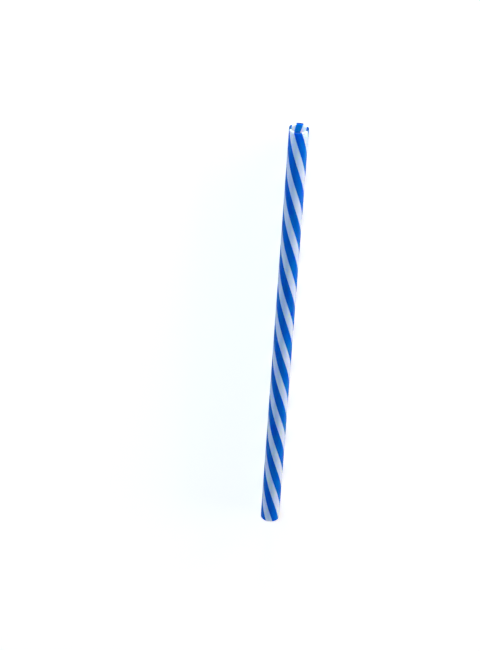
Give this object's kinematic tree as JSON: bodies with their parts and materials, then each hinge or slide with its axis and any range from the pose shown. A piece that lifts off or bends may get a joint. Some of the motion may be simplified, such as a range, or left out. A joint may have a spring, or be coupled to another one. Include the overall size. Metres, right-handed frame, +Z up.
{
  "type": "striped drinking straw",
  "caption": "Straight reusable drinking straw: a rigid round plastic tube, open at both ends, with blue and milky white spiral stripes through its wall.",
  "frame": {"origin": "on the table, under the middle of the straw's length", "axes": "+X along the straw towards its mouth end, +Y across it, +Z up from the table that it lies on"},
  "size_m": [0.2, 0.008, 0.008],
  "materials": {
    "striped_plastic": "Smooth extruded polypropylene with a soft gloss. Four bright blue and four milky, slightly see-through white stripes of equal width run in a left-handed spiral through the whole wall, one turn in 76 mm; the base colour given here is their average."
  },
  "bodies": {
    "root": {"straw_tube": "striped_plastic"}
  },
  "joints": []
}
